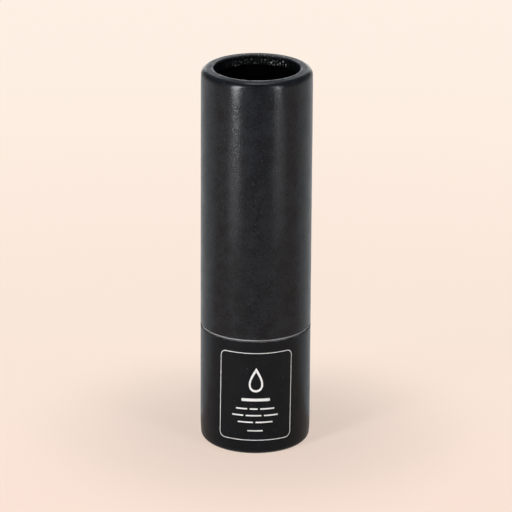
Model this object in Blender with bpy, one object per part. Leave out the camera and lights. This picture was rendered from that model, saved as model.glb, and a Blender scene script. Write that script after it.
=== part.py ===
# Push-up lip balm stick in a rolled paper tube, in metres, with +Z up.
# It stands on the middle of its foot at the world origin, and its printed front faces -Y.

import math

import bmesh
import bpy
from mathutils import Matrix

# The whole stick
stick_height = 0.0703
tube_outer_radius = 0.0100
seam_height = 0.0218
seam_gap = 0.0003

# Plies of the wound tube wall, from the outside in, with the glue between them
wrap_thickness = 0.00015
board_thickness = 0.00065
liner_thickness = 0.00012
glue_film = 0.00004

# Rolled edges of the cap and the base: the wall folds inwards and its cut end points back.
# The outer bend is round, and the die presses the inner corner nearly square.
bend_inner_radius = 0.00012
rim_inner_corner = 0.00035
roll_tuck = 0.0006
foot_extra_width = 0.0005

# Lap where the black paper wraps overlap themselves, at a diagonal of the hidden side
lap_width = 0.0040
lap_edge_width = 0.00008
lap_ramp_width = 0.0006
cap_lap_direction = 132.0
base_lap_direction = 54.0

# End cup that closes the cap, pressed from board with its pleated flange standing up
recess_depth = 0.0056
end_cup_board = 0.0006
end_cup_corner = 0.0009
end_cup_side_gap = 0.00008
end_cup_flange_gap = 0.00015

# Neck tube that holds the balm, glued into the base and a slip fit in the cap
neck_headroom = 0.0012
neck_slip = 0.00012
neck_board = 0.0008
neck_foot_gap = 0.00015
neck_edge_bevel = 0.00015
neck_liner_thickness = 0.00012

# Push cup that slides in the neck, pressed from board with its pleated skirt hanging down
push_cup_slip = 0.0001
push_cup_board = 0.0005
push_cup_corner = 0.0009
push_cup_height = 0.0070
push_cup_foot_gap = 0.00015
stiffener_thickness = 0.0012
stiffener_side_gap = 0.00015
stiffener_edge_bevel = 0.0002

# Balm and the greaseproof disc under it
balm_paper_thickness = 0.00012
balm_paper_side_gap = 0.0002
balm_side_gap = 0.00006
balm_below_neck_edge = 0.0015
balm_dip = 0.0007
balm_dip_power = 5

# How finely the round shapes are divided
tube_segments = 48
bend_steps = 4
inner_bend_steps = 2
rim_corner_steps = 2
corner_steps = 3
balm_top_steps = 5
pleats = 20
segments_in_pleat = 4
pleat_depth = 0.00014

# Distance under which points are one point, and angle over which an edge stays sharp
weld_distance = 0.0000005
sharp_angle = 38.0

# Sizes worked out from those above
wrap_inner_depth = wrap_thickness
board_outer_depth = wrap_inner_depth + glue_film
board_inner_depth = board_outer_depth + board_thickness
liner_outer_depth = board_inner_depth + glue_film
wall_thickness = liner_outer_depth + liner_thickness
roll_radius = wall_thickness + bend_inner_radius
roll_height = roll_radius + roll_tuck
cap_rim_width = 2 * roll_radius
foot_width = 2 * roll_radius + foot_extra_width
tube_bore_radius = tube_outer_radius - wall_thickness
cap_length = stick_height - seam_height - seam_gap
end_cup_floor_top = cap_length - recess_depth
neck_outer_radius = tube_bore_radius - neck_slip
neck_board_inner_radius = neck_outer_radius - neck_board
neck_liner_outer_radius = neck_board_inner_radius - glue_film
neck_bore_radius = neck_liner_outer_radius - neck_liner_thickness
neck_bottom = roll_height + neck_foot_gap
neck_top = stick_height - recess_depth - end_cup_board - neck_headroom
neck_length = neck_top - neck_bottom
push_cup_bottom = roll_height + push_cup_foot_gap
push_cup_radius = neck_bore_radius - push_cup_slip
push_cup_inner_radius = push_cup_radius - push_cup_board
balm_paper_bottom = push_cup_height + glue_film
balm_bottom = balm_paper_bottom + balm_paper_thickness + glue_film
balm_length = neck_top - balm_below_neck_edge - push_cup_bottom - balm_bottom
pleat_segments = pleats * segments_in_pleat


# Materials

def paint(name, colour, roughness):
    material = bpy.data.materials.new(name)
    material.use_nodes = True
    shader = material.node_tree.nodes["Principled BSDF"]
    shader.inputs["Base Color"].default_value = (*colour, 1.0)
    shader.inputs["Roughness"].default_value = roughness
    shader.inputs["Metallic"].default_value = 0.0
    material.diffuse_color = (*colour, 1.0)
    return material


def make_materials():
    return {
        "black_paper": paint("black_paper", (0.022, 0.023, 0.025), 0.55),
        "grey_board": paint("grey_board", (0.23, 0.22, 0.21), 0.85),
        "inner_ply": paint("inner_ply", (0.30, 0.25, 0.19), 0.80),
        "black_board": paint("black_board", (0.018, 0.018, 0.020), 0.65),
        "neck_paper": paint("neck_paper", (0.36, 0.28, 0.19), 0.75),
        "greaseproof": paint("greaseproof", (0.55, 0.48, 0.36), 0.35),
        "push_board": paint("push_board", (0.34, 0.27, 0.19), 0.80),
        "stiffener_board": paint("stiffener_board", (0.24, 0.22, 0.20), 0.88),
        "balm_wax": paint("balm_wax", (0.78, 0.68, 0.44), 0.32),
    }


# Outlines, as points of radius and height

def arc_points(centre_radius, centre_height, radius, start, end, steps):
    points = []
    for step in range(steps + 1):
        angle = math.radians(start + (end - start) * step / steps)
        point_radius = centre_radius + radius * math.cos(angle)
        point_height = centre_height + radius * math.sin(angle)
        points.append((point_radius, point_height))
    return points


def without_repeats(points):
    kept = []
    for point in points:
        if not kept or math.dist(point, kept[-1]) > weld_distance:
            kept.append(point)
    return kept


def rolled_face(depth, open_end, rim, rim_width, steps):
    # One face of a ply, at a depth under the tube's outside, from its open end over the rolled rim.
    way = 1 if rim > open_end else -1
    bend = roll_radius - depth
    corner = rim_inner_corner - depth
    mouth_radius = tube_outer_radius - rim_width
    points = [(tube_outer_radius - depth, open_end)]
    points += arc_points(
        tube_outer_radius - roll_radius, rim - way * roll_radius, bend, 0, way * 90, steps
    )
    if corner > weld_distance:
        corner_radius = mouth_radius + rim_inner_corner
        corner_height = rim - way * rim_inner_corner
        points += arc_points(
            corner_radius, corner_height, corner, way * 90, way * 180, rim_corner_steps
        )
    else:
        points.append((mouth_radius + depth, rim - way * depth))
    points.append((mouth_radius + depth, rim - way * roll_height))
    return without_repeats(points)


def rolled_ply(outer_depth, inner_depth, open_end, rim, rim_width, steps):
    outside = rolled_face(outer_depth, open_end, rim, rim_width, steps)
    inside = rolled_face(inner_depth, open_end, rim, rim_width, steps)
    return outside + inside[::-1]


def pressed_cup(radius, board, corner, flange_end):
    # Half section of a cup whose floor's inner face is at height 0, out to its flange's end.
    way = 1 if flange_end > 0 else -1
    outer_corner = corner + board
    corner_centre = radius - outer_corner
    inner = arc_points(corner_centre, way * corner, corner, way * -90, 0, corner_steps)
    outer = arc_points(corner_centre, way * corner, outer_corner, way * -90, 0, corner_steps)
    points = [(0.0, 0.0)] + inner
    points.append((radius - board, flange_end))
    points.append((radius, flange_end))
    points += outer[::-1]
    points.append((0.0, -way * board))
    return points


def disc_outline(radius, thickness, bevel):
    return [
        (0.0, 0.0),
        (radius - bevel, 0.0),
        (radius, bevel),
        (radius, thickness - bevel),
        (radius - bevel, thickness),
        (0.0, thickness),
    ]


def tube_outline(outer_radius, inner_radius, length, bevel):
    return [
        (inner_radius, 0.0),
        (outer_radius, 0.0),
        (outer_radius, length - bevel),
        (outer_radius - bevel, length),
        (inner_radius, length),
    ]


def balm_outline(radius, length):
    # The poured top sinks in the middle and climbs the wall as a thin meniscus.
    points = [(0.0, 0.0), (radius, 0.0)]
    for step in range(balm_top_steps + 1):
        share = math.cos(math.pi / 2 * step / balm_top_steps)
        height = length - balm_dip * (1 - share ** balm_dip_power)
        points.append((radius * share, height))
    return points


# Solids

def turned_body(outline, segments):
    # The outline is closed, or runs from the axis to the axis, and is spun about +Z.
    on_axis = outline[0][0] == 0.0
    body = bmesh.new()
    points = [body.verts.new((radius, 0.0, height)) for radius, height in outline]
    edges = [body.edges.new(pair) for pair in zip(points, points[1:])]
    if not on_axis:
        edges.append(body.edges.new((points[-1], points[0])))
    bmesh.ops.spin(
        body,
        geom=points + edges,
        cent=(0.0, 0.0, 0.0),
        axis=(0.0, 0.0, 1.0),
        angle=math.tau,
        steps=segments,
        use_merge=True,
    )
    bmesh.ops.remove_doubles(body, verts=body.verts, dist=weld_distance)
    bmesh.ops.recalc_face_normals(body, faces=body.faces)
    return body


def finish_body(body, name, material, holder, height):
    bmesh.ops.recalc_face_normals(body, faces=body.faces)
    mesh = bpy.data.meshes.new(name)
    body.to_mesh(mesh)
    body.free()
    mesh.shade_smooth()
    mesh.set_sharp_from_angle(angle=math.radians(sharp_angle))
    mesh.materials.append(material)
    piece = bpy.data.objects.new(name, mesh)
    piece.parent = holder
    piece.location = (0.0, 0.0, height)
    bpy.context.scene.collection.objects.link(piece)
    return piece


def angle_from(direction, point):
    # Signed angle from a direction in degrees to a point, seen from above.
    difference = math.atan2(point.y, point.x) - math.radians(direction)
    return math.remainder(difference, math.tau)


def raise_lap(body, direction):
    # The straight outer wall stands out by one more paper where the wrap covers its own start.
    half_angle = lap_width / 2 / tube_outer_radius
    lap = []
    for face in body.faces:
        centre = face.calc_center_median()
        upright = abs(face.normal.z) < math.sin(math.radians(1))
        on_wall = math.hypot(centre.x, centre.y) > tube_bore_radius
        faces_out = face.normal.dot(centre) > 0
        if upright and on_wall and faces_out and abs(angle_from(direction, centre)) < half_angle:
            lap.append(face)
    bmesh.ops.inset_region(
        body,
        faces=lap,
        thickness=lap_edge_width,
        depth=wrap_thickness,
        use_boundary=True,
        use_even_offset=True,
    )
    corners = {corner for face in lap for corner in face.verts}
    last_angle = max(angle_from(direction, corner.co) for corner in corners)
    ramp_angle = lap_ramp_width / tube_outer_radius
    ramp = [corner for corner in corners if angle_from(direction, corner.co) > last_angle - ramp_angle]
    turn = Matrix.Rotation(-ramp_angle, 3, "Z")
    bmesh.ops.rotate(body, verts=ramp, cent=(0.0, 0.0, 0.0), matrix=turn)


def press_pleats(body, flange_start, flange_end):
    # The flange's board gathers into creases that deepen towards its cut edge.
    for corner in body.verts:
        share = (corner.co.z - flange_start) / (flange_end - flange_start)
        if share <= 0:
            continue
        angle = math.atan2(corner.co.y, corner.co.x)
        crease = (1 - math.cos(pleats * angle)) / 2
        radius = math.hypot(corner.co.x, corner.co.y)
        shrink = 1 - pleat_depth * min(share, 1) * crease / radius
        corner.co.x *= shrink
        corner.co.y *= shrink


# The base, with the neck glued into it

def make_base(materials, holder):
    board = rolled_ply(board_outer_depth, board_inner_depth, seam_height, 0.0, foot_width, bend_steps)
    board_body = turned_body(board, tube_segments)
    finish_body(board_body, "base_tube_board", materials["grey_board"], holder, 0.0)

    wrap = rolled_ply(0.0, wrap_inner_depth, seam_height, 0.0, foot_width, bend_steps)
    wrap_body = turned_body(wrap, tube_segments)
    raise_lap(wrap_body, base_lap_direction)
    finish_body(wrap_body, "base_paper_wrap", materials["black_paper"], holder, 0.0)

    liner = rolled_ply(
        liner_outer_depth, wall_thickness, seam_height, 0.0, foot_width, inner_bend_steps
    )
    liner_body = turned_body(liner, tube_segments)
    finish_body(liner_body, "base_inner_ply", materials["inner_ply"], holder, 0.0)


def make_neck(materials, holder):
    neck = tube_outline(neck_outer_radius, neck_board_inner_radius, neck_length, neck_edge_bevel)
    neck_body = turned_body(neck, tube_segments)
    finish_body(neck_body, "neck_tube", materials["neck_paper"], holder, neck_bottom)

    liner = tube_outline(neck_liner_outer_radius, neck_bore_radius, neck_length, 0.0)
    liner_body = turned_body(without_repeats(liner), tube_segments)
    finish_body(liner_body, "neck_greaseproof_liner", materials["greaseproof"], holder, neck_bottom)


# The push cup and the balm that it carries

def make_push_cup(materials, holder):
    floor_height = push_cup_height - push_cup_board
    cup = pressed_cup(push_cup_radius, push_cup_board, push_cup_corner, -floor_height)
    cup_body = turned_body(cup, pleat_segments)
    press_pleats(cup_body, -push_cup_corner, -floor_height)
    finish_body(cup_body, "push_cup", materials["push_board"], holder, floor_height)

    stiffener_radius = push_cup_inner_radius - push_cup_corner / 2 - stiffener_side_gap
    stiffener = disc_outline(stiffener_radius, stiffener_thickness, stiffener_edge_bevel)
    stiffener_bottom = floor_height - glue_film - stiffener_thickness
    stiffener_body = turned_body(stiffener, tube_segments)
    finish_body(
        stiffener_body, "push_cup_stiffener", materials["stiffener_board"], holder, stiffener_bottom
    )


def make_balm(materials, holder):
    paper_radius = push_cup_radius - push_cup_corner - balm_paper_side_gap
    paper = disc_outline(paper_radius, balm_paper_thickness, 0.0)
    paper_body = turned_body(without_repeats(paper), tube_segments)
    finish_body(paper_body, "balm_base_paper", materials["greaseproof"], holder, balm_paper_bottom)

    balm = balm_outline(neck_bore_radius - balm_side_gap, balm_length)
    balm_body = turned_body(balm, tube_segments)
    finish_body(balm_body, "balm", materials["balm_wax"], holder, balm_bottom)


# The cap, whose heights count from its lower edge

def make_cap(materials, holder):
    board = rolled_ply(
        board_outer_depth, board_inner_depth, 0.0, cap_length, cap_rim_width, bend_steps
    )
    board_body = turned_body(board, tube_segments)
    finish_body(board_body, "cap_tube_board", materials["grey_board"], holder, 0.0)

    wrap = rolled_ply(0.0, wrap_inner_depth, 0.0, cap_length, cap_rim_width, bend_steps)
    wrap_body = turned_body(wrap, tube_segments)
    raise_lap(wrap_body, cap_lap_direction)
    finish_body(wrap_body, "cap_paper_wrap", materials["black_paper"], holder, 0.0)

    liner = rolled_ply(
        liner_outer_depth, wall_thickness, 0.0, cap_length, cap_rim_width, inner_bend_steps
    )
    liner_body = turned_body(liner, tube_segments)
    finish_body(liner_body, "cap_inner_ply", materials["inner_ply"], holder, 0.0)


def make_end_cup(materials, holder):
    radius = tube_bore_radius - end_cup_side_gap
    flange_end = recess_depth - roll_height - end_cup_flange_gap
    cup = pressed_cup(radius, end_cup_board, end_cup_corner, flange_end)
    cup_body = turned_body(cup, pleat_segments)
    press_pleats(cup_body, end_cup_corner, flange_end)
    finish_body(cup_body, "cap_end_cup", materials["black_board"], holder, end_cup_floor_top)


# Empties that carry what moves together: the cup slides up the neck, and the cap pulls off

def make_holder(name, height, parent):
    holder = bpy.data.objects.new(name, None)
    holder.empty_display_size = tube_outer_radius
    holder.parent = parent
    holder.location = (0.0, 0.0, height)
    bpy.context.scene.collection.objects.link(holder)
    return holder


def build_stick():
    for leftover in list(bpy.data.objects):
        bpy.data.objects.remove(leftover, do_unlink=True)
    materials = make_materials()
    base = make_holder("base_group", 0.0, None)
    carriage = make_holder("push_slide", push_cup_bottom, base)
    cap = make_holder("cap_pull", seam_height + seam_gap - push_cup_bottom, carriage)
    make_base(materials, base)
    make_neck(materials, base)
    make_push_cup(materials, carriage)
    make_balm(materials, carriage)
    make_cap(materials, cap)
    make_end_cup(materials, cap)
    print("push travel", round(neck_top - push_cup_bottom - balm_bottom, 5))
    print("neck above the seam", round(neck_top - seam_height - seam_gap, 5))
    print("balm length", round(balm_length, 5))


build_stick()
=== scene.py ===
import math

import bmesh
import bpy
from mathutils import Matrix, Vector, noise


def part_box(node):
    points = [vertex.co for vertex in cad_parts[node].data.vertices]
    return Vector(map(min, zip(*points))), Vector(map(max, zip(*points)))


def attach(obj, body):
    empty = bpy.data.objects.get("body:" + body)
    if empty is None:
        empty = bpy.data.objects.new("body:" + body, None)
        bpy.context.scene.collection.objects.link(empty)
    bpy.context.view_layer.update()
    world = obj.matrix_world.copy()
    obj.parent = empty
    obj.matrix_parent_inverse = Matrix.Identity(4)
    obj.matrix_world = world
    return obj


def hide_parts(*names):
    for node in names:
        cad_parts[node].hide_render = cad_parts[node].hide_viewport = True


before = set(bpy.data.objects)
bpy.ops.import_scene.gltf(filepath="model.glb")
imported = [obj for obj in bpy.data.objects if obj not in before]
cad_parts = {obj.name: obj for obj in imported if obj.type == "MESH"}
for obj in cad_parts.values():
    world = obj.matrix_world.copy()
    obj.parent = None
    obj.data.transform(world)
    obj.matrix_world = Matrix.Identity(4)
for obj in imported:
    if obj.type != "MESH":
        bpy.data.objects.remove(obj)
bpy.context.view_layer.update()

# Looks of a push-up lip balm stick in black paper: rolled paper wraps over grey board, a kraft neck, the balm
# on its push cup, and white print on the base. Lengths are in millimetres, and mm turns them into metres.
mm = 0.001
weldDistance = 0.0004  # mm
cutDistance = 0.0005  # mm
zAxis = Vector((0, 0, 1))
print("frame loaded:", len(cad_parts), "nodes")


# Camera

cameraView = {
    "place": (0.0067, -693.397, 287.015),
    "target": (0.01, 0.0, 34.75),
    "lens": 287.36,
    "sensor": 36.0,
    "roll": 0.32,  # degrees; the stick's top leans right
    "clip": (0.01, 20.0),  # metres
}


def makeCamera(view):
    camera = bpy.data.objects.new("studioCamera", bpy.data.cameras.new("studioCamera"))
    bpy.context.scene.collection.objects.link(camera)
    place = Vector(view["place"]) * mm
    forward = (Vector(view["target"]) * mm - place).normalized()
    right = forward.cross(zAxis).normalized()
    up = right.cross(forward)
    roll = math.radians(view["roll"])
    rolledRight = right * math.cos(roll) + up * math.sin(roll)
    rolledUp = up * math.cos(roll) - right * math.sin(roll)
    turned = Matrix((rolledRight, rolledUp, -forward)).transposed()
    camera.matrix_world = Matrix.Translation(place) @ turned.to_4x4()
    camera.data.lens = view["lens"]
    camera.data.sensor_width = view["sensor"]
    camera.data.clip_start, camera.data.clip_end = view["clip"]
    bpy.context.scene.camera = camera
    bpy.context.scene.view_settings.view_transform = "Standard"


# Node helpers for the materials

nodeGrid = {"columns": 9, "across": 220, "down": 260}  # how the nodes lie in the editor


class Paint:
    def __init__(self, name):
        self.material = bpy.data.materials.new(name)
        self.material.use_nodes = True
        self.tree = self.material.node_tree
        self.shader = self.tree.nodes["Principled BSDF"]
        self.output = self.tree.nodes["Material Output"]
        self.place = self.add("ShaderNodeTexCoord").outputs["Object"]

    def add(self, kind, **values):
        node = self.tree.nodes.new(kind)
        row, column = divmod(len(self.tree.nodes), nodeGrid["columns"])
        node.location = (-nodeGrid["across"] * (column + 1), -nodeGrid["down"] * row)
        for key, value in values.items():
            setattr(node, key, value)
        return node

    def join(self, source, target):
        self.tree.links.new(source, target)

    def feed(self, target, value):
        if isinstance(value, bpy.types.NodeSocket):
            self.join(value, target)
        else:
            target.default_value = value

    def fill(self, sockets):
        # Puts constants or other nodes' results on the shader's own sockets.
        for name, value in sockets.items():
            self.feed(self.shader.inputs[name], value)

    def mapped(self, scale, offset):
        mapping = self.add("ShaderNodeMapping")
        mapping.inputs["Location"].default_value = (offset, offset, offset)
        mapping.inputs["Scale"].default_value = scale
        self.join(self.place, mapping.inputs["Vector"])
        return mapping.outputs[0]

    def noise(self, size, detail=2.0, rough=0.5, stretch=(1, 1, 1), twist=0.0, offset=0.0):
        # Noise whose features are about size mm across.
        place = self.mapped([1 / (size * mm * s) for s in stretch], offset)
        node = self.add("ShaderNodeTexNoise", noise_dimensions="3D")
        node.inputs["Scale"].default_value = 1.0
        node.inputs["Detail"].default_value = detail
        node.inputs["Roughness"].default_value = rough
        node.inputs["Distortion"].default_value = twist
        self.join(place, node.inputs["Vector"])
        return node.outputs["Fac"]

    def specks(self, spacing, offset, edge, chosen, strength=1.0):
        # Small spots: edge is where they fade, and only those whose random number is past chosen show.
        place = self.mapped([1 / (spacing * mm)] * 3, offset)
        node = self.add("ShaderNodeTexVoronoi", feature="F1")
        node.inputs["Scale"].default_value = 1.0
        self.join(place, node.inputs["Vector"])
        spot = self.spread(node.outputs["Distance"], *edge)
        kept = self.spread(self.maths("FRACT", node.outputs["Color"]), *chosen, 0.0, strength)
        return self.maths("MULTIPLY", spot, kept)

    def spread(self, value, low, high, newLow=0.0, newHigh=1.0):
        node = self.add("ShaderNodeMapRange", interpolation_type="SMOOTHSTEP")
        node.inputs["From Min"].default_value = low
        node.inputs["From Max"].default_value = high
        node.inputs["To Min"].default_value = newLow
        node.inputs["To Max"].default_value = newHigh
        self.feed(node.inputs["Value"], value)
        return node.outputs["Result"]

    def maths(self, operation, first, second=0.0):
        node = self.add("ShaderNodeMath", operation=operation)
        self.feed(node.inputs[0], first)
        self.feed(node.inputs[1], second)
        return node.outputs[0]

    def blend(self, factor, first, second):
        node = self.add("ShaderNodeMix", data_type="RGBA", blend_type="MIX")
        self.feed(node.inputs["Factor"], factor)
        for target, value in ((node.inputs[6], first), (node.inputs[7], second)):
            self.feed(target, value if isinstance(value, bpy.types.NodeSocket) else (*value, 1.0))
        return node.outputs[2]

    def attribute(self, name):
        return self.add("ShaderNodeAttribute", attribute_name=name).outputs["Fac"]

    def coordinate(self, axis):
        split = self.add("ShaderNodeSeparateXYZ")
        self.join(self.place, split.inputs[0])
        return split.outputs[axis]

    def spiral(self, pitch):
        # The height above or below a spiral line that climbs pitch mm a turn.
        turns = self.maths("ARCTAN2", self.coordinate("Y"), self.coordinate("X"))
        rise = self.maths("MULTIPLY", turns, pitch * mm / math.tau)
        return self.maths("PINGPONG", self.maths("SUBTRACT", self.coordinate("Z"), rise), pitch * mm / 2)

    def bump(self, heights, strength):
        # heights is a list of (value, mm of relief); the normals chain from the coarsest to the finest.
        normal = None
        for value, relief in heights:
            node = self.add("ShaderNodeBump")
            node.inputs["Strength"].default_value = strength
            node.inputs["Distance"].default_value = relief * mm
            self.join(value, node.inputs["Height"])
            if normal:
                self.join(normal, node.inputs["Normal"])
            normal = node.outputs[0]
        self.join(normal, self.shader.inputs["Normal"])
        return normal


# Turned shapes

fewestSteps = 12  # a slice that is spun has no more steps than this where it can be halved


def roundCorners(body, verts, radius, steps):
    bmesh.ops.bevel(
        body, geom=verts, offset=radius, offset_type="OFFSET",
        segments=steps, profile=0.5, affect="VERTICES", material=-1,
    )


def cutAcross(body, place, normal):
    everything = body.verts[:] + body.edges[:] + body.faces[:]
    bmesh.ops.bisect_plane(body, geom=everything, plane_co=place, plane_no=normal, dist=cutDistance)


def vertsOf(geom):
    return [part for part in geom if isinstance(part, bmesh.types.BMVert)]


def plainCorners(inner, outer, low, high):
    return [(inner, low), (outer, low), (outer, high), (inner, high)]


def sectionOf(corners, rounds=()):
    # A closed half section: rounds gives (corner, radius, steps) for the corners that are rounded off.
    body = bmesh.new()
    verts = [body.verts.new((radius, 0, height)) for radius, height in corners]
    body.faces.new(verts)
    for index, radius, steps in rounds:
        roundCorners(body, [verts[index]], radius, steps)
    bmesh.ops.delete(body, geom=body.faces[:], context="FACES_ONLY")
    onAxis = [e for e in body.edges if all(v.co.x < weldDistance for v in e.verts)]
    bmesh.ops.delete(body, geom=onAxis, context="EDGES")
    return body


def divideSection(body, longest):
    # Splits long edges of the section, so that dents and wear have vertices to move.
    for edge in body.edges[:]:
        cuts = math.ceil(edge.calc_length() / longest) - 1
        if cuts > 0:
            bmesh.ops.subdivide_edges(body, edges=[edge], cuts=cuts)


def cutSection(body, heights, radii=()):
    for height in heights:
        cutAcross(body, (0, 0, height), (0, 0, 1))
    for radius in radii:
        cutAcross(body, (radius, 0, 0), (1, 0, 0))


def turn(body, steps):
    # A narrow slice is spun, and then doubled until it closes the circle, which is much quicker.
    doublings = 0
    while steps % 2 == 0 and steps > fewestSteps:
        steps //= 2
        doublings += 1
    sector = math.tau / 2 ** doublings
    bmesh.ops.spin(
        body, geom=body.verts[:] + body.edges[:], cent=(0, 0, 0), axis=(0, 0, 1),
        angle=sector, steps=steps, use_merge=doublings == 0,
    )
    for level in range(doublings):
        copy = bmesh.ops.duplicate(body, geom=body.verts[:] + body.edges[:] + body.faces[:])
        bmesh.ops.rotate(
            body, verts=vertsOf(copy["geom"]), cent=(0, 0, 0),
            matrix=Matrix.Rotation(sector * 2 ** level, 3, "Z"),
        )
    bmesh.ops.remove_doubles(body, verts=body.verts, dist=weldDistance)
    bmesh.ops.recalc_face_normals(body, faces=body.faces)


def meshObject(body, name, material):
    bmesh.ops.scale(body, vec=(mm, mm, mm), verts=body.verts)
    holder = bpy.data.objects.new(name, bpy.data.meshes.new(name))
    body.to_mesh(holder.data)
    body.free()
    holder.data.shade_smooth()
    holder.data.materials.append(material)
    bpy.context.scene.collection.objects.link(holder)
    return holder


def finishPiece(body, name, material, carrier, node=None, sharp=40.0):
    bmesh.ops.recalc_face_normals(body, faces=body.faces)
    piece = meshObject(body, name, material)
    piece.data.set_sharp_from_angle(angle=math.radians(sharp))
    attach(piece, carrier)
    if node:
        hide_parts(node)
    print(name, len(piece.data.polygons), "faces")


def boxOf(node):
    return [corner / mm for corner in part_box(node)]


def polar(vert):
    return math.hypot(vert.co.x, vert.co.y), math.atan2(vert.co.y, vert.co.x)


def setRadius(vert, radius, angle):
    vert.co.x = radius * math.cos(angle)
    vert.co.y = radius * math.sin(angle)


def smoothStep(low, high, value):
    share = min(max((value - low) / (high - low), 0.0), 1.0)
    return share * share * (3 - 2 * share)


def ringNoise(angle, height, size, seed):
    # Noise that closes round the tube, with features about size mm across.
    place = Vector((wall["radius"] * math.cos(angle), wall["radius"] * math.sin(angle), height)) / size
    return noise.noise(place + Vector((seed, seed * 1.7, seed * 0.3)))


# Stage: a pale sweep of paper, plain soft lamps and a quiet room

stageLook = {
    "radius": 2600.0,
    "segments": 96,
    "wallHeight": 480.0,
    "frontShare": 0.1,  # how high the sweep is in front, as a share of its height behind
    "climb": (-0.35, 0.75),  # where it grows to that height, in radii behind the stick
    "sweepRadius": 300.0,
    "sweepSteps": 10,
    "bands": [  # how far behind the stick, and the paper's colour there
        (-260.0, (0.56, 0.53, 0.52)),
        (-50.0, (0.99, 0.795, 0.69)),
        (70.0, (0.995, 0.84, 0.735)),
        (290.0, (1.0, 0.885, 0.785)),
    ],
    "rough": 0.9,
    "specular": 0.1,
    "ownGlow": (0.60, 0.92, 0.98),  # share of the floor's look that the lamps don't change: near, around, far; the low share near the stick paints a soft shade round its foot
    "glowReach": (12.0, 48.0, 200.0),
    "roomColour": (0.90, 0.95, 1.0),
    "roomStrength": 0.20,
}
lamps = [  # name, degrees from the front, lowest and highest edge, distance, width, watts, what it lights
    ("keyLamp", -42.0, 2.0, 300.0, 250.0, 58.0, 0.55, "all"),
    ("fillLamp", 43.0, 2.0, 300.0, 260.0, 50.0, 0.32, "all"),
    ("keyStrip", -42.0, 2.0, 300.0, 245.0, 46.0, 1.08, "gloss"),
    ("fillStrip", 44.0, 2.0, 300.0, 255.0, 40.0, 0.40, "gloss"),
    ("lowStripLeft", -43.0, 20.0, 42.5, 70.0, 28.0, 0.0038, "gloss"),
    ("lowStripRight", 45.0, 22.0, 47.0, 70.0, 28.0, 0.0024, "gloss"),
    ("rimPanelLeft", -167.0, 30.0, 190.0, 300.0, 96.0, 0.125, "gloss"),
    ("rimPanelRight", 167.0, 30.0, 190.0, 300.0, 96.0, 0.125, "gloss"),
    ("backLampLeft", -174.8, 600.0, 670.0, 310.0, 10.0, 0.6, "gloss"),
    ("backLampRight", 172.1, 600.0, 670.0, 310.0, 10.0, 0.6, "gloss"),
]
lampColour = (0.97, 0.985, 1.0)
coolCard = {  # lies on the floor behind the stick, and only shows in reflections
    "size": (560.0, 380.0),
    "behind": 196.0,
    "above": 1.0,
    "colour": (0.46, 0.80, 1.0),
    "power": 0.32,
}


def makeFloorMaterial(look):
    paint = Paint("palePaperSweep")
    ramp = paint.add("ShaderNodeValToRGB")
    ramp.color_ramp.interpolation = "EASE"
    first, last = look["bands"][0][0], look["bands"][-1][0]
    stops = ramp.color_ramp.elements
    for index, (behind, colour) in enumerate(look["bands"]):
        place = (behind - first) / (last - first)
        stop = stops[0] if index == 0 else stops[-1] if place == 1 else stops.new(place)
        stop.color = (*colour, 1)
    along = paint.add("ShaderNodeMapRange")
    along.inputs["From Min"].default_value = first * mm
    along.inputs["From Max"].default_value = last * mm
    paint.join(paint.coordinate("Y"), along.inputs["Value"])
    paint.join(along.outputs[0], ramp.inputs[0])
    paint.fill({
        "Base Color": ramp.outputs[0], "Roughness": look["rough"], "Specular IOR Level": look["specular"],
    })

    # What the camera and mirrors see of the floor is mostly its own colour, and its shadow stays.
    glow = paint.add("ShaderNodeEmission")
    paint.join(ramp.outputs[0], glow.inputs[0])
    rays = paint.add("ShaderNodeLightPath")
    seen = paint.maths("ADD", rays.outputs["Is Camera Ray"], rays.outputs["Is Glossy Ray"])
    seen = paint.maths("ADD", seen, rays.outputs["Is Transmission Ray"])
    seen = paint.maths("MINIMUM", seen, 1.0)
    # Near the stick less of the floor is glow, so the dimmer lamp light shows there: a painted soft shade
    # round the foot, as well as its real shadow.
    across = paint.add("ShaderNodeVectorMath", operation="LENGTH")
    paint.join(paint.place, across.inputs[0])
    near, around, far = [length * mm for length in look["glowReach"]]
    low, middling, high = look["ownGlow"]
    glowShadedNear = paint.spread(across.outputs["Value"], near, around, low, middling)
    outside = paint.spread(across.outputs["Value"], around, far, 0, high - middling)
    glowShadedNear = paint.maths("ADD", glowShadedNear, outside)
    share = paint.maths("MULTIPLY", seen, glowShadedNear)
    mix = paint.add("ShaderNodeMixShader")
    paint.join(share, mix.inputs[0])
    paint.join(paint.shader.outputs[0], mix.inputs[1])
    paint.join(glow.outputs[0], mix.inputs[2])
    paint.join(mix.outputs[0], paint.output.inputs[0])
    return paint.material


def makeStage(look):
    # A flat round floor whose edge sweeps up, high behind the stick and low in front of it.
    body = bmesh.new()
    points = [(0, 0), (look["radius"], 0), (look["radius"], look["wallHeight"])]
    verts = [body.verts.new((x, 0, z)) for x, z in points]
    for pair in zip(verts, verts[1:]):
        body.edges.new(pair)
    roundCorners(body, [verts[1]], look["sweepRadius"], look["sweepSteps"])
    turn(body, look["segments"])
    for vert in body.verts:
        behind = smoothStep(*look["climb"], vert.co.y / look["radius"])
        vert.co.z *= look["frontShare"] + (1 - look["frontShare"]) * behind
    if body.faces[0].normal.z < 0:
        bmesh.ops.reverse_faces(body, faces=body.faces)
    meshObject(body, "paperSweep", makeFloorMaterial(look))

    room = bpy.data.worlds.new("room")
    room.use_nodes = True
    background = room.node_tree.nodes["Background"]
    background.inputs["Color"].default_value = (*look["roomColour"], 1)
    background.inputs["Strength"].default_value = look["roomStrength"]
    bpy.context.scene.world = room


def addLamp(name, width, height, power, colour):
    lamp = bpy.data.lights.new(name, "AREA")
    lamp.shape = "RECTANGLE"
    lamp.size = width * mm
    lamp.size_y = height * mm
    lamp.energy = power
    lamp.color = colour
    holder = bpy.data.objects.new(name, lamp)
    bpy.context.scene.collection.objects.link(holder)
    holder.visible_camera = False
    return holder


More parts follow.
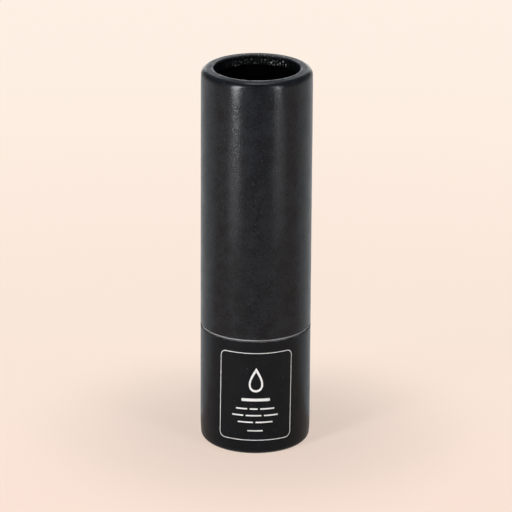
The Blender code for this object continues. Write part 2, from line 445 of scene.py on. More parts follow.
def makeLamps(rows):
    for name, turned, low, high, distance, width, power, lights in rows:
        holder = addLamp(name, width, high - low, power, lampColour)
        angle = math.radians(turned)
        away = Vector((math.sin(angle), -math.cos(angle), 0)) * distance
        middle = away + zAxis * (low + high) / 2
        holder.location = middle * mm
        facing = middle if low > distance else away  # a lamp high above looks down at the stick
        holder.rotation_euler = facing.to_track_quat("Z", "Y").to_euler()
        holder.visible_diffuse = lights == "all"  # the others only show in reflections


def makeCoolCard(look):
    holder = addLamp("coolCard", *look["size"], look["power"], look["colour"])
    holder.location = (0, look["behind"] * mm, look["above"] * mm)
    holder.rotation_euler = (math.pi, 0, 0)  # it shines upwards
    holder.visible_diffuse = False


# The tube wall: three plies that are rolled over together at the cap's rim and under the base's foot

wall = {
    "radius": 10.0,
    "roll": 1.12,  # outer bend of the rolled rim
    "tightBend": 0.5,  # a bend smaller than this gets half the steps
    "lipCorner": 0.2,
    "tuck": 1.72,  # from the rim down to the tucked end
    "wrap": (0.0, 0.15),  # depths of each ply under the outside
    "board": (0.19, 0.84),
    "inner": (0.88, 1.0),
}
rollCentre = wall["radius"] - wall["roll"]
skin = {"bend": 0.05, "side": 0.02, "top": 0.12, "mouth": 0.1}  # a vertex nearer than this is on the outside

capSide = {
    "carrier": "cap",
    "openEnd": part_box("cap_tube_board")[0].z / mm,
    "rim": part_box("cap_paper_wrap")[1].z / mm,
    "way": 1,  # up or down from the open end to the rim
    "mouth": 7.76,
    "lap": 132.0,  # degrees round to the middle of the paper's lap
    "shoulder": (0.042, 2.7),  # how much the wall draws in towards the roll, and over what height
    "cutBack": 0.14,  # the paper ends this far short of the board's cut edge
    "palePaper": 1.0,  # how pale the cut edges are
    "paleBoard": 1.0,
    "seed": 1,
}
baseSide = {
    "carrier": "base",
    "openEnd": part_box("base_tube_board")[1].z / mm,
    "rim": 0.0,
    "way": -1,
    "mouth": 7.26,
    "lap": 54.0,
    "shoulder": (0.1, 2.4),
    "cutBack": -0.07,  # here it stands past the board
    "palePaper": 0.0,
    "paleBoard": 0.05,
    "seed": 2,
}


def rolledSection(depths, side, steps):
    # The wall from its open end over the rolled rim to the tucked end, between two depths.
    way, rim, mouth = side["way"], side["rim"], side["mouth"]
    outer, inner = depths
    corners, rounds = [], []
    for depth, backwards in ((outer, False), (inner, True)):
        face = [
            (wall["radius"] - depth, side["openEnd"], 0),
            (wall["radius"] - depth, rim - way * depth, wall["roll"] - depth),
            (mouth + depth, rim - way * depth, max(wall["lipCorner"] - depth, 0)),
            (mouth + depth, rim - way * wall["tuck"], 0),
        ]
        for radius, height, bend in reversed(face) if backwards else face:
            if bend:
                share = 1 if bend > wall["tightBend"] else 0.5
                rounds.append((len(corners), bend, max(int(steps * share), 2)))
            corners.append((radius, height))
    return sectionOf(corners, rounds)


bareFibre = {  # a cut edge shows it in long patches round the tube
    "least": 0.35,
    "patchSize": 4.0,
    "patchEdge": (-0.45, -0.2),
    "patchTurn": 0.14,  # radians
}


def bareShare(angle, seed):
    patch = ringNoise(angle + bareFibre["patchTurn"], 0, bareFibre["patchSize"], seed + 55)
    return bareFibre["least"] + (1 - bareFibre["least"]) * smoothStep(*bareFibre["patchEdge"], patch)


# Paper wraps

paperWrap = {
    "segments": 512,
    "longestEdge": 1.6,
    "bendSteps": 14,
    "edgeCuts": (0.05, 0.11, 0.18, 0.28, 0.45),  # rows of vertices: from the cut edge
    "tuckCuts": (0.3, 0.42, 0.54, 0.66, 0.78, 0.9, 1.02, 1.14, 1.26, 1.38, 1.5, 1.62),  # from the rim
    "topCuts": (0.06, 0.11, 0.16, 0.21, 0.27, 0.35, 0.5, 0.65, 0.8, 0.95),  # from the mouth
    "dentDepth": 0.012,
    "dentSize": 4.5,
    "dentShift": 0.8,  # the dents go in more than out
    "fineDents": (0.5, 2.7),  # smaller dents on them: so deep, and so many times finer
    "lapWidth": 4.0,
    "lapEdge": 0.1,
    "lapRamp": 0.6,
    "lapThickness": 0.13,
    "lapFade": (0.3, 2.2),  # the lap is pressed flat towards the roll
    "liftReach": 0.3,  # dents, lap and shoulder fade from here to the roll's centre
    "cutWander": 0.055,
    "wanderSizes": (1.1, 0.28),
    "fineWander": 0.6,
    "edgeFade": (0.0, 0.12),
    "wearHighlightCentre": (0.1, 0.02),  # out from the mouth and down from the rim
    "wearHighlightFade": (0.12, 0.24),
    # where the painted shade inside the mouth deepens, down from the rim
    "tuckShadeFade": (0.1, 0.55),
    "wearAndHighlightBack": 0.12,  # how much of the lip's wear and painted highlight is left behind, where the front is 1
    "wearAndHighlightTurn": (-0.5, 0.8),  # where it changes, from -1 behind to 1 in front
    "slope": 4.4,  # degrees by which the top of the cap's rim falls away from its lip
    "slopeFade": (0.1, 0.3),
    "lipBead": 0.055,  # the fold at the lip stands up by this much more
    "beadReach": (0.09, 0.3),
}
pleating = {  # the paper gathers as it is rolled in to a smaller circle, and crumples inside the mouth
    "count": 86,
    "depth": 0.066,
    "reach": 0.7,  # how far out from the roll's centre pleats can lie
    "start": 0.4,  # where they begin, out from the roll's centre
    "full": 0.25,  # where they have their whole depth, out from the mouth
    "stray": 2.3,  # how far they wander round the tube, in radians of their wave
    "straySize": 1.6,
    "sharpness": 1.6,
    "faintest": 0.35,
    "patchSize": 2.1,
    "patchEdge": (-0.25, 0.3),
    "topDepth": 0.36,  # down to here pleats also dent the rim's top
    "topShare": 0.6,
    "lean": 0.22,  # the tucked end leans in by this much over its length
    "leanLength": 1.5,
    "crumpleStart": (0.2, 0.7),
    "ridge": 0.045,  # upright ridges on the tucked end
    "ridgeSize": 0.34,
    "ridgeStretch": 0.45,
    "crumple": 0.055,  # smaller dents between them
    "crumpleSize": 0.4,
}


def lapHeight(angle, middle, look):
    along = math.remainder(angle - math.radians(middle), math.tau) * wall["radius"]
    half = look["lapWidth"] / 2
    edge = smoothStep(-half, -half + look["lapEdge"], along)
    ramp = 1 - smoothStep(half - look["lapRamp"], half, along)
    return look["lapThickness"] * edge * ramp


def surfaceLift(angle, height, fromRim, side, look):
    # How far the paper's outside lies off the true cylinder: the lap, the shoulder and soft dents.
    fromRoll = fromRim - wall["roll"]
    drawIn, reach = side["shoulder"]
    drawIn *= (1 - min(max(fromRoll / reach, 0), 1)) ** 2
    lap = lapHeight(angle, side["lap"], look) * smoothStep(*look["lapFade"], fromRoll)
    share, finer = look["fineDents"]
    dent = ringNoise(angle, height, look["dentSize"], side["seed"])
    dent += share * ringNoise(angle, height, look["dentSize"] / finer, side["seed"] + 5)
    return lap - drawIn + look["dentDepth"] * (dent - look["dentShift"])


def onOutside(radius, fromRim, mouth):
    # Tells the paper's outside from the face that is glued to the board.
    if radius > rollCentre and fromRim < wall["roll"]:
        return math.hypot(radius - rollCentre, wall["roll"] - fromRim) > wall["roll"] - skin["bend"]
    return radius > wall["radius"] - skin["side"] or fromRim < skin["top"] or radius < mouth + skin["mouth"]


def topRise(radius, fromRim, mouth, wearAndHighlight, look):
    # The top of the cap's rim is straight from its lip to where it meets the roll, with a bead at the lip.
    slope = math.radians(look["slope"])
    slopeEnd = rollCentre + wall["roll"] * math.sin(slope)
    if radius >= slopeEnd or fromRim >= look["slopeFade"][1]:
        return 0
    curve = math.sqrt(wall["roll"] ** 2 - max(radius - rollCentre, 0) ** 2) - wall["roll"]
    straight = (slopeEnd - radius) * math.tan(slope) + wall["roll"] * (math.cos(slope) - 1)
    raised = straight - curve + wearAndHighlight * look["lipBead"] * (1 - smoothStep(*look["beadReach"], radius - mouth))
    return raised * (1 - smoothStep(*look["slopeFade"], fromRim))


def pleatAt(angle, radius, mouth, seed, look):
    grow = smoothStep(rollCentre + look["start"], mouth + look["full"], radius)
    wave = look["count"] * angle + look["stray"] * ringNoise(angle, 0, look["straySize"], seed + 9)
    crease = (0.5 + 0.5 * math.sin(wave)) ** look["sharpness"]
    patch = smoothStep(*look["patchEdge"], ringNoise(angle, 0, look["patchSize"], seed + 3))
    strength = look["faintest"] + (1 - look["faintest"]) * patch
    return look["depth"] * grow * crease * strength


def crumpleAt(angle, height, fromRim, seed, look):
    ridge = ringNoise(angle, height * look["ridgeStretch"], look["ridgeSize"], seed + 23)
    crumple = ringNoise(angle, height, look["crumpleSize"], seed + 29)
    crumpled = look["ridge"] * (ridge + 0.5) + look["crumple"] * (crumple + 0.5)
    start = look["crumpleStart"]
    lean = look["lean"] * max(fromRim - start[0], 0) / look["leanLength"]
    return smoothStep(*start, fromRim) * crumpled - lean


def shapeWrap(body, side, start, look):
    way, mouth, seed = side["way"], side["mouth"], side["seed"]
    (wideWander, closeWander), (highlightOut, highlightDown) = look["wanderSizes"], look["wearHighlightCentre"]
    for name in ("cutEdge", "lipWearAndHighlight", "tuckedShade"):
        body.verts.layers.float.new(name)
    edgeMask = body.verts.layers.float["cutEdge"]
    lipWearHighlightMask = body.verts.layers.float["lipWearAndHighlight"]
    tuckShadeMask = body.verts.layers.float["tuckedShade"]
    for vert in body.verts:
        radius, angle = polar(vert)
        height = vert.co.z
        fromRim = (side["rim"] - height) * way
        fromEnd = (height - start) * way
        outside = onOutside(radius, fromRim, mouth)
        facing = smoothStep(*look["wearAndHighlightTurn"], -math.sin(angle))
        wearAndHighlight = look["wearAndHighlightBack"] + (1 - look["wearAndHighlightBack"]) * facing  # the lip's painted highlight and wear are strongest in front, and the bead stands highest there
        if way > 0 and outside:
            vert.co.z += topRise(radius, fromRim, mouth, wearAndHighlight, look)
        if outside and radius > rollCentre:
            share = smoothStep(rollCentre, wall["radius"] - look["liftReach"], radius)
            radius += share * surfaceLift(angle, height, fromRim, side, look)
            setRadius(vert, radius, angle)
        if outside and fromRim < wall["tuck"] + 0.01 and radius < rollCentre + pleating["reach"]:
            depth = pleatAt(angle, radius, mouth, seed, pleating)
            if fromRim < pleating["topDepth"]:
                vert.co.z -= way * depth * pleating["topShare"]
            if radius < mouth + skin["mouth"]:
                depth += crumpleAt(angle, height, fromRim, seed, pleating)
            setRadius(vert, radius + depth, angle)
        if fromEnd < 0.02:  # the cut edge itself
            wander = ringNoise(angle, 0, wideWander, seed + 13)
            wander += look["fineWander"] * ringNoise(angle, 0, closeWander, seed + 17)
            vert.co.z += way * look["cutWander"] * (wander + 1)

        fresh = 1 - smoothStep(*look["edgeFade"], fromEnd)
        vert[edgeMask] = fresh * side["palePaper"] * bareShare(angle, seed)
        # The paler lip is partly wear and partly a painted highlight along the fold.
        lip = 1 - smoothStep(*look["wearHighlightFade"], math.hypot(radius - mouth - highlightOut, fromRim - highlightDown))
        vert[lipWearHighlightMask] = lip * wearAndHighlight if outside and radius < rollCentre else 0.0
        # Down the tucked end inside the mouth the paper gets painted shade, for the dark recess.
        vert[tuckShadeMask] = smoothStep(*look["tuckShadeFade"], fromRim) if radius < rollCentre else 0.0


def makeWrap(name, side, material, node):
    start = side["openEnd"] + side["way"] * side["cutBack"]
    body = rolledSection(wall["wrap"], {**side, "openEnd": start}, paperWrap["bendSteps"])
    divideSection(body, paperWrap["longestEdge"])
    cutSection(body, [start + side["way"] * step for step in paperWrap["edgeCuts"]])
    cutSection(body, [side["rim"] - side["way"] * step for step in paperWrap["tuckCuts"]])
    cutSection(body, [], [side["mouth"] + step for step in paperWrap["topCuts"]])
    turn(body, paperWrap["segments"])
    shapeWrap(body, side, start, paperWrap)
    finishPiece(body, name, material, side["carrier"], node)


# Board and inner plies

boardPly = {
    "segments": 384,
    "longestEdge": 3.0,
    "bendSteps": 8,
    "edgeCuts": (0.05, 0.1, 0.16, 0.25, 0.5),
    "burr": 0.11,  # the cut edge spreads out by this much under the black paper
    "burrHeight": 0.16,
    "burrWander": 0.05,
    "burrSize": 0.3,
    "paleFade": (0.1, 0.5),
}
plainPly = {
    "segments": 240,
    "longestEdge": 6.0,
    "bendSteps": 5,
}


def makeBoard(name, side, material, node):
    way = side["way"]
    outer = wall["radius"] - wall["board"][0]
    body = rolledSection(wall["board"], side, boardPly["bendSteps"])
    divideSection(body, boardPly["longestEdge"])
    cutSection(body, [side["openEnd"] + way * step for step in boardPly["edgeCuts"]])
    turn(body, boardPly["segments"])
    mask = body.verts.layers.float.new("cutEdge")
    for vert in body.verts:
        radius, angle = polar(vert)
        fromEnd = (vert.co.z - side["openEnd"]) * way
        if radius > outer - 0.02 and fromEnd < 1.0:
            spread = 1 - smoothStep(0.0, boardPly["burrHeight"], fromEnd)
            rough = ringNoise(angle, vert.co.z * 2, boardPly["burrSize"], side["seed"] + 2)
            setRadius(vert, radius + (boardPly["burr"] + rough * boardPly["burrWander"]) * spread, angle)
        fresh = 1 - smoothStep(*boardPly["paleFade"], fromEnd)
        vert[mask] = fresh * bareShare(angle, side["seed"]) * side["paleBoard"]
    finishPiece(body, name, material, side["carrier"], node)


def makeInnerPly(name, side, material, node):
    body = rolledSection(wall["inner"], side, plainPly["bendSteps"])
    divideSection(body, plainPly["longestEdge"])
    turn(body, plainPly["segments"])
    finishPiece(body, name, material, side["carrier"], node)


# Materials of the paper and the board

blackPaper = {
    "colour": (0.0113, 0.0136, 0.0174),
    "darker": (0.0028, 0.0036, 0.0054),
    # painted shade: the paper inside the mouth's recess is painted near black
    "tuckedShade": (0.0016, 0.0017, 0.0019),
    "fibre": (0.06, 0.06, 0.061),
    # the lip's paler line: wear and a painted highlight
    "lipWearAndHighlight": (0.36, 0.36, 0.37),
    "paleEdge": (0.34, 0.335, 0.32),
    "rough": (0.38, 0.48),
    "frayedRough": 0.4,  # how much rougher the frayed cut edge is
    "specular": 0.045,
    "coat": 0.27,  # the paper's thin satin varnish
    "coatRough": 0.155,
    "sheen": 0.08,
    "sheenRough": 0.35,
    "sheenTint": (0.4, 0.7, 1.0),
    "mottle": {"size": 2.6, "detail": 4.0, "rough": 0.55},
    "grain": {"size": 0.34, "detail": 3.0, "rough": 0.6, "offset": 3.0},
    "fibres": {"size": 0.5, "detail": 2.0, "rough": 0.5, "stretch": (1, 1, 3.2), "twist": 1.2, "offset": 7.0},
    "fray": {"size": 0.3, "detail": 3.0, "rough": 0.6, "offset": 11.0},
    "gloss": {"size": 3.4, "detail": 3.0, "rough": 0.6, "offset": 5.0},
    "specks": {"spacing": 0.62, "offset": 1.0, "edge": (0.16, 0.07), "chosen": (0.82, 0.86)},
    "reliefs": (0.045, 0.018, 0.038),  # of the mottle, the fibres and the grain
    "bump": 0.6,
}
baseInk = {  # the base's paper is printed over in a deeper black
    "colour": (0.0026, 0.0052, 0.0078),
    "darker": (0.0008, 0.0024, 0.0040),
    "specular": 0.02,
}


def makeBlackPaper(name, look):
    paint = Paint(name)
    mottle, grain, fibres = [paint.noise(**look[part]) for part in ("mottle", "grain", "fibres")]
    tone = paint.maths("ADD", paint.maths("MULTIPLY", mottle, 0.45), paint.maths("MULTIPLY", grain, 0.55))
    colour = paint.blend(paint.spread(tone, 0.38, 0.62), look["darker"], look["colour"])
    # The tucked end inside the mouth is painted near black: painted shade in the recess.
    colour = paint.blend(paint.attribute("tuckedShade"), colour, look["tuckedShade"])
    colour = paint.blend(paint.specks(**look["specks"]), colour, look["fibre"])
    torn = paint.spread(paint.noise(**look["fray"]), 0.3, 0.6)
    frayed = paint.maths("MULTIPLY", paint.attribute("cutEdge"), torn)
    colour = paint.blend(frayed, colour, look["paleEdge"])
    # A paler line along the lip: wear and a painted highlight of the fold.
    lipWearAndHighlight = paint.maths("MULTIPLY", paint.attribute("lipWearAndHighlight"), paint.spread(mottle, 0.3, 0.6, 0.5, 1.0))
    colour = paint.blend(lipWearAndHighlight, colour, look["lipWearAndHighlight"])

    rough = paint.spread(paint.noise(**look["gloss"]), 0.3, 0.7, *look["rough"])
    rough = paint.maths("ADD", rough, paint.spread(grain, 0.2, 0.8, -0.05, 0.05))
    rough = paint.maths("ADD", rough, paint.maths("MULTIPLY", frayed, look["frayedRough"]))
    mottleRelief, fibreRelief, grainRelief = look["reliefs"]
    layers = [(mottle, mottleRelief), (fibres, fibreRelief), (grain, grainRelief)]
    paint.fill({
        "Base Color": colour,
        "Roughness": rough,
        "Specular IOR Level": look["specular"],
        "Coat Weight": look["coat"],
        "Coat Roughness": look["coatRough"],
        "Sheen Weight": look["sheen"],
        "Sheen Roughness": look["sheenRough"],
        "Sheen Tint": (*look["sheenTint"], 1),
        "Coat Normal": paint.bump(layers, look["bump"]),
    })
    return paint.material


pulpBoard = {  # what the boards share, unless they say otherwise
    "cloud": {"size": 2.6, "detail": 6.0, "rough": 0.68},
    "fibre": {"size": 0.2, "detail": 4.0, "rough": 0.62, "stretch": (1, 1, 2.4), "twist": 1.5, "offset": 2.0},
    "strands": {
        "size": 0.34, "detail": 3.0, "rough": 0.6, "stretch": (3.4, 3.4, 1), "twist": 2.2, "offset": 6.0,
    },
    "pulp": {"size": 0.5, "detail": 3.0, "rough": 0.55, "offset": 9.0},
    "specks": {"spacing": 0.7, "offset": 4.0, "edge": (0.22, 0.1), "chosen": (0.8, 0.84)},
    "fibreTone": 1.35,  # times the paler tone
    "strandTone": 0.62,  # times the darker tone, and so is the next
    "fleckTone": 0.25,
    "roughSpread": 0.07,
    "specular": 0.25,
    "bump": 0.7,
}
boards = {  # tones are the darker and the paler colour; flecks is how strong the dark ones are
    "greyBoard": {
        "tones": ((0.17, 0.16, 0.148), (0.30, 0.285, 0.265)),
        "rough": 0.85, "relief": 0.02, "flecks": 0.7,
        "paleCut": (0.49, 0.52, 0.55),  # fresh fibres along the cut edge
    },
    "innerPly": {
        "tones": ((0.25, 0.205, 0.15), (0.36, 0.30, 0.23)),
        "rough": 0.80, "relief": 0.014, "flecks": 0.5,
    },
    "kraftPaper": {
        "tones": ((0.30, 0.22, 0.14), (0.42, 0.33, 0.225)),
        "rough": 0.72, "relief": 0.010, "flecks": 0.5,
        "joint": (0.16, 0.11, 0.066),  # the edges of the spiral ply meet in a darker line
        "jointWidth": (0.06, 0.16),
    },
    "cupBoard": {
        "tones": ((0.27, 0.205, 0.135), (0.40, 0.32, 0.225)),
        "rough": 0.78, "relief": 0.014, "flecks": 0.5,
    },
    "stiffBoard": {
        "tones": ((0.19, 0.17, 0.15), (0.29, 0.265, 0.235)),
        "rough": 0.86, "relief": 0.022, "flecks": 0.8,
    },
    # black board made darker than any real board, to paint the shade deep in the cap's recess
    "recessShadeBlackBoard": {
        "tones": ((0.0006, 0.0006, 0.0007), (0.0012, 0.0012, 0.0014)),
        "rough": 0.9, "relief": 0.014, "flecks": 0.2, "specular": 0.012,
    },
}


def makeBoardMaterial(name, look):
    paint = Paint(name)
    dark, pale = look["tones"]
    fibreTone = [c * look["fibreTone"] for c in pale]
    strandTone = [c * look["strandTone"] for c in dark]
    fleckTone = [c * look["fleckTone"] for c in dark]
    names = ("cloud", "fibre", "strands", "pulp")
    cloud, fibre, strands, pulp = [paint.noise(**look[part]) for part in names]
    flecks = paint.specks(**look["specks"], strength=look["flecks"])
    colour = paint.blend(paint.spread(cloud, 0.25, 0.75), dark, pale)
    colour = paint.blend(paint.spread(fibre, 0.35, 0.7, 0.0, 0.5), colour, fibreTone)
    colour = paint.blend(paint.spread(strands, 0.56, 0.68, 0.0, 0.4), colour, strandTone)
    colour = paint.blend(flecks, colour, fleckTone)
    if "paleCut" in look:
        torn = paint.maths("MULTIPLY", paint.attribute("cutEdge"), paint.spread(pulp, 0.3, 0.55, 0.5, 1.0))
        colour = paint.blend(torn, colour, look["paleCut"])
    if "joint" in look:
        narrow, wide = [width * mm for width in look["jointWidth"]]
        line = paint.spread(paint.spiral(neck["pitch"]), narrow, wide, 1.0, 0.0)
        colour = paint.blend(line, colour, look["joint"])
    rough, around = look["rough"], look["roughSpread"]
    paint.fill({
        "Base Color": colour,
        "Roughness": paint.spread(pulp, 0.3, 0.7, rough - around, rough + around),
        "Specular IOR Level": look["specular"],
    })
    paint.bump([(pulp, look["relief"] * 1.5), (fibre, look["relief"])], look["bump"])
    return paint.material


# Pressed cups: the one that closes the cap's recess, and the one that pushes the balm

endCup = {
    "segments": 320,
    "longestEdge": 0.8,
    "radius": 8.92,
    "board": 0.6,
    "corner": 0.9,
    "bendSteps": (8, 6),  # outside and inside
    "pleats": 20,
    "pleatDepth": 0.14,
    "finePleatDepth": 0.03,
    "seed": 21,
}
pushCup = {
    "segments": 320,
    "longestEdge": 0.9,
    "radius": 7.82,
    "board": 0.5,
    "corner": 0.9,
    "bendSteps": (8, 6),
    "pleats": 20,
    "pleatDepth": 0.14,
    "finePleatDepth": 0.025,
    "seed": 27,
}


def pressedCup(look, closedEnd, openEnd):
    way = 1 if openEnd > closedEnd else -1
    radius, board = look["radius"], look["board"]
    floor = closedEnd + way * board
    corners = [
        (0, closedEnd), (radius, closedEnd), (radius, openEnd), (radius - board, openEnd),
        (radius - board, floor), (0, floor),
    ]
    outerSteps, innerSteps = look["bendSteps"]
    rounds = [(1, look["corner"] + board, outerSteps), (4, look["corner"], innerSteps)]
    body = sectionOf(corners, rounds)
    divideSection(body, look["longestEdge"])
    turn(body, look["segments"])
    pleatStart = floor + way * look["corner"]
    for vert in body.verts:
        # The flange gathers into creases that deepen towards its cut edge, with small ones between them.
        share = (vert.co.z - pleatStart) / (openEnd - pleatStart)
        if share <= 0:
            continue
        distance, angle = polar(vert)
        crease = (1 - math.cos(look["pleats"] * angle)) / 2
        wave = look["pleats"] * 3 * angle + 2 * ringNoise(angle, 0, 3.0, look["seed"])
        depth = look["pleatDepth"] * crease + look["finePleatDepth"] * (1 + math.cos(wave)) / 2
        setRadius(vert, distance - depth * min(share, 1), angle)
    return body


def makeEndCup(material):
    low, high = boxOf("cap_end_cup")
    body = pressedCup(endCup, low.z, high.z)
    finishPiece(body, "capEndCup", material, "cap", "cap_end_cup")


def makePushCup(material):
    low, high = boxOf("push_cup")
    body = pressedCup(pushCup, high.z, low.z)
    finishPiece(body, "pushCup", material, "push_carriage", "push_cup")


# Neck tube and its liner

neck = {
    "segments": 320,
    "longestEdge": 0.9,
    "outer": 8.88,
    "inner": 8.08,
    "edgeRound": 0.15,
    "pitch": 24.0,  # of the spiral in which the outer ply is wound
    "grooveDepth": 0.036,  # where that ply butts against itself
    "grooveTurn": 0.035,  # radians
    "dentDepth": 0.0048,
    "dentSize": 4.0,
    "dentSeed": 31,
}
liner = {
    "segments": 320,
    "longestEdge": 2.0,
    "outer": 8.04,
    "inner": 7.92,
}


def makeNeck(material):
    low, high = boxOf("neck_tube")
    body = sectionOf(plainCorners(neck["inner"], neck["outer"], low.z, high.z), [(2, neck["edgeRound"], 3)])
    divideSection(body, neck["longestEdge"])
    turn(body, neck["segments"])
    for vert in body.verts:
        radius, angle = polar(vert)
        if radius > neck["outer"] - 0.01:
            along = math.remainder(angle - vert.co.z / neck["pitch"] * math.tau, math.tau)
            groove = 1 - smoothStep(0.0, neck["grooveTurn"], abs(along))
            dent = 1 + ringNoise(angle, vert.co.z, neck["dentSize"], neck["dentSeed"])
            setRadius(vert, radius - neck["grooveDepth"] * groove - neck["dentDepth"] * dent, angle)
    finishPiece(body, "neckTube", material, "base", "neck_tube")


def makeLiner(material):
    low, high = boxOf("neck_tube")
    body = sectionOf(plainCorners(liner["inner"], liner["outer"], low.z, high.z))
    divideSection(body, liner["longestEdge"])
    turn(body, liner["segments"])
    finishPiece(body, "neckLiner", material, "base", "neck_greaseproof_liner")


# Balm, with the stiff disc and the paper disc under it

balmLook = {
    "segments": 256,
    "longestEdge": 0.35,
    "radius": 7.86,
    "edgeRound": 0.15,
    "dip": 0.7,
    "dipPower": 5,
    "dipSwell": 0.04,  # how unevenly it sinks
    "ripple": 0.03,
    "rippleSize": 3.5,
    "ripplePower": 4,
    "colour": (0.78, 0.66, 0.41),
    "deep": (0.70, 0.57, 0.33),
    "rough": (0.46, 0.6),
    "specular": 0.25,
    "milky": 0.25,
    "milkyColour": (1.0, 0.6, 0.3),
    "milkyDepth": 1.2,
}
stiffener = {
    "segments": 192,
    "longestEdge": 0.8,
    "edgeRound": 0.2,
    "dentDepth": 0.02,
    "dentSize": 2.2,
}
paperDisc = {
    "segments": 128,
    "longestEdge": 2.0,
}


def makeBalm(material):
    look = balmLook
    low, high = boxOf("balm")
    body = sectionOf(plainCorners(0, look["radius"], low.z, high.z), [(1, look["edgeRound"], 3)])
    divideSection(body, look["longestEdge"])
    turn(body, look["segments"])
    for vert in body.verts:
        distance = math.hypot(vert.co.x, vert.co.y)
        if vert.co.z > high.z - 0.01 and distance < look["radius"] - 0.005:
            # The poured top sinks in the middle, climbs the wall and sets with slow ripples.
            share = distance / look["radius"]
            sink = look["dip"] * (1 - share ** look["dipPower"])
            swell = noise.noise(Vector((vert.co.x, vert.co.y, 0)) / look["rippleSize"] + Vector((4, 2, 0)))
            ripple = look["ripple"] * (1 - share ** look["ripplePower"]) * (0.5 + 0.5 * swell)
            vert.co.z -= sink * (1 - look["dipSwell"] * (1 - swell)) + ripple
    finishPiece(body, "balmStick", material, "push_carriage", "balm")


def makeStiffener(material):
    low, high = boxOf("push_cup_stiffener")
    edges = [(corner, stiffener["edgeRound"], 4) for corner in (1, 2)]
    body = sectionOf(plainCorners(0, high.x, low.z, high.z), edges)
    divideSection(body, stiffener["longestEdge"])
    turn(body, stiffener["segments"])
    for vert in body.verts:
        if vert.co.z < low.z + 0.05:  # the underside
            dent = noise.noise(Vector((vert.co.x, vert.co.y, 0)) / stiffener["dentSize"])
            vert.co.z += stiffener["dentDepth"] * (1 + dent)
    finishPiece(body, "pushCupStiffener", material, "push_carriage", "push_cup_stiffener")


def makeBasePaper(material):
    low, high = boxOf("balm_base_paper")
    body = sectionOf(plainCorners(0, high.x, low.z, high.z))
    divideSection(body, paperDisc["longestEdge"])
    turn(body, paperDisc["segments"])
    finishPiece(body, "balmBasePaper", material, "push_carriage", "balm_base_paper")


def makeBalmMaterial(look):
    paint = Paint("pouredBalm")
    cloud = paint.noise(5.0, 3.0, 0.5)
    crystals = paint.noise(0.45, 4.0, 0.6, offset=4.0)
    colour = paint.blend(paint.spread(cloud, 0.3, 0.7), look["deep"], look["colour"])
    paint.fill({
        "Base Color": colour,
        "Roughness": paint.spread(crystals, 0.3, 0.7, *look["rough"]),
        "Specular IOR Level": look["specular"],
        "Subsurface Weight": look["milky"],
        "Subsurface Radius": look["milkyColour"],
        "Subsurface Scale": look["milkyDepth"] * mm,
    })
    paint.bump([(cloud, 0.08), (crystals, 0.012)], 0.6)
    return paint.material


def makeGreaseproof():
    paint = Paint("greaseproofPaper")
    cloud = paint.noise(1.4, 4.0, 0.6)
    fibre = paint.noise(0.2, 3.0, 0.6, stretch=(1, 1, 2.0), twist=1.0, offset=6.0)
    colour = paint.blend(paint.spread(cloud, 0.3, 0.7), (0.47, 0.40, 0.29), (0.60, 0.53, 0.41))
    paint.fill({"Base Color": colour, "Roughness": paint.spread(fibre, 0.3, 0.7, 0.26, 0.44)})
    paint.bump([(cloud, 0.02), (fibre, 0.008)], 0.5)
    return paint.material


# White print on the base: a plain frame, a drop and bars

printed = {
    "ink": 0.016,
    "sunk": 0.004,  # how far the ink reaches into the paper
    "step": 0.45,  # the flat shapes are cut this often, to follow the tube
    "frameWidth": 13.8,
    "frameLow": 2.85,
    "frameHigh": 19.8,
    "line": 0.12,
    "corner": 1.1,
    "shift": -0.03,
    "lean": 0.0148,  # sideways drift for each mm up
    "dropHeight": 14.6,
    "dropRadius": 1.75,
    "dropStretch": 1.35,
    "dropTip": 1.2,  # more makes the tip slimmer
    "dropInside": 0.74,  # the clear middle, as a share of the drop
    "dropInsideSink": 0.12,
    "barCorner": 0.35,  # as a share of the bar's thickness
    "bars": [  # height of the middle, thickness, and the start and end of each bar
        (10.75, 0.55, [(-2.6, 2.6)]),
        (9.0, 0.26, [(-3.6, -1.5), (-1.05, 0.4), (0.85, 3.5)]),
        (7.7, 0.26, [(-4.3, -2.2), (-1.75, 1.1), (1.55, 4.2)]),
        (6.4, 0.26, [(-3.2, -0.4), (0.05, 3.2)]),
        (4.75, 0.22, [(-1.4, 1.4)]),
    ],
}


def flatShape(left, right, low, high, corner, steps):
    # A rounded rectangle in the XZ plane.
    body = bmesh.new()
    bmesh.ops.create_grid(body, x_segments=1, y_segments=1, size=0.5)
    bmesh.ops.rotate(body, verts=body.verts, matrix=Matrix.Rotation(math.pi / 2, 3, "X"))
    bmesh.ops.scale(body, vec=(right - left, 1, high - low), verts=body.verts)
    bmesh.ops.translate(body, vec=((left + right) / 2, 0, (low + high) / 2), verts=body.verts)
    roundCorners(body, body.verts[:], corner, steps)
    return body


def frameShape(look):
    half = look["frameWidth"] / 2
    frameBody = flatShape(-half, half, look["frameLow"], look["frameHigh"], look["corner"], 8)
    inside = frameBody.faces[:]
    bmesh.ops.inset_region(
        frameBody, faces=inside, thickness=look["line"], use_boundary=True, use_even_offset=True,
    )
    bmesh.ops.delete(frameBody, geom=inside, context="FACES")
    return frameBody


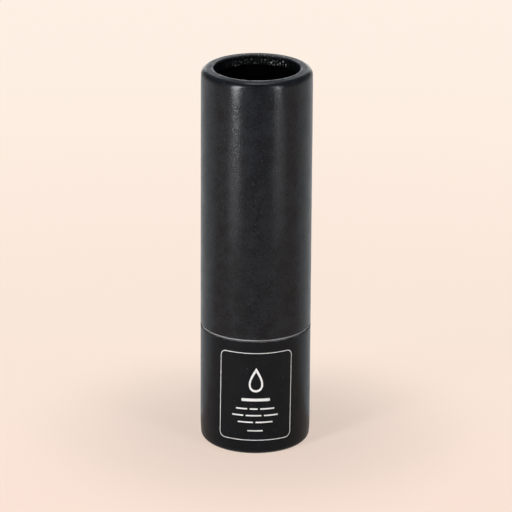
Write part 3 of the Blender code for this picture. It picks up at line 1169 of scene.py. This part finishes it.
def dropShape(look):
    drop = bmesh.new()
    bmesh.ops.create_circle(drop, cap_ends=False, radius=look["dropRadius"], segments=64)
    bmesh.ops.rotate(drop, verts=drop.verts, matrix=Matrix.Rotation(math.pi / 2, 3, "X"))
    for vert in drop.verts:
        # The circle's upper half is drawn in to a tip.
        fromTop = abs(math.atan2(vert.co.x, vert.co.z))
        vert.co.x *= math.sin(fromTop / 2) ** look["dropTip"]
        vert.co.z *= look["dropStretch"]
    inner = vertsOf(bmesh.ops.duplicate(drop, geom=drop.verts[:] + drop.edges[:])["geom"])
    bmesh.ops.scale(drop, vec=[look["dropInside"]] * 3, verts=inner)
    bmesh.ops.translate(drop, vec=(0, 0, -look["dropInsideSink"] * look["dropRadius"]), verts=inner)
    bmesh.ops.bridge_loops(drop, edges=drop.edges[:])
    bmesh.ops.translate(drop, verts=drop.verts, vec=(0, 0, look["dropHeight"]))
    return drop


def barShapes(look):
    for height, thick, spans in look["bars"]:
        for start, end in spans:
            corner = thick * look["barCorner"]
            yield flatShape(start, end, height - thick / 2, height + thick / 2, corner, 4)


def makePrint(material):
    look = printed
    ink = bmesh.new()
    for shape in (frameShape(look), dropShape(look), *barShapes(look)):
        mesh = bpy.data.meshes.new("inkShape")
        shape.to_mesh(mesh)
        shape.free()
        ink.from_mesh(mesh)
        bpy.data.meshes.remove(mesh)

    reach = math.ceil(look["frameWidth"] / 2 / look["step"])
    for index in range(-reach, reach + 1):
        cutAcross(ink, (index * look["step"], 0, 0), (1, 0, 0))
    top = bmesh.ops.extrude_face_region(ink, geom=ink.faces[:])
    bmesh.ops.translate(ink, verts=vertsOf(top["geom"]), vec=(0, -look["ink"], 0))
    for vert in ink.verts:
        height = vert.co.z
        across = vert.co.x + look["shift"] + look["lean"] * (height - look["frameLow"])
        angle = across / wall["radius"] - math.pi / 2
        lift = surfaceLift(angle, height, height, baseSide, paperWrap)
        setRadius(vert, wall["radius"] + lift - look["sunk"] - vert.co.y, angle)
    finishPiece(ink, "basePrint", material, "base", sharp=30.0)


def makeInk():
    paint = Paint("whiteInk")
    wear = paint.noise(0.35, 4.0, 0.65)
    colour = paint.blend(paint.spread(wear, 0.25, 0.42), (0.52, 0.52, 0.51), (0.86, 0.86, 0.85))
    fine = paint.noise(0.15, offset=4.0)
    paint.fill({"Base Color": colour, "Roughness": paint.spread(fine, 0.3, 0.7, 0.5, 0.65)})
    paint.bump([(wear, 0.004)], 0.4)
    return paint.material


makeCamera(cameraView)
makeStage(stageLook)
makeLamps(lamps)
makeCoolCard(coolCard)
print("stage, lamps and camera made")

coatedPaper = makeBlackPaper("blackCoatedPaper", blackPaper)
inkedPaper = makeBlackPaper("blackInkedPaper", {**blackPaper, **baseInk})
boardOf = {name: makeBoardMaterial(name, {**pulpBoard, **look}) for name, look in boards.items()}
greaseproof = makeGreaseproof()
print("materials made")

makeWrap("capPaperWrap", capSide, coatedPaper, "cap_paper_wrap")
makeWrap("basePaperWrap", baseSide, inkedPaper, "base_paper_wrap")
makeBoard("capTubeBoard", capSide, boardOf["greyBoard"], "cap_tube_board")
makeBoard("baseTubeBoard", baseSide, boardOf["greyBoard"], "base_tube_board")
makeInnerPly("capInnerPly", capSide, boardOf["innerPly"], "cap_inner_ply")
makeInnerPly("baseInnerPly", baseSide, boardOf["innerPly"], "base_inner_ply")
makeEndCup(boardOf["recessShadeBlackBoard"])
makeNeck(boardOf["kraftPaper"])
makeLiner(greaseproof)
makeBalm(makeBalmMaterial(balmLook))
makePushCup(boardOf["cupBoard"])
makeStiffener(boardOf["stiffBoard"])
makeBasePaper(greaseproof)
makePrint(makeInk())
print("pieces made")
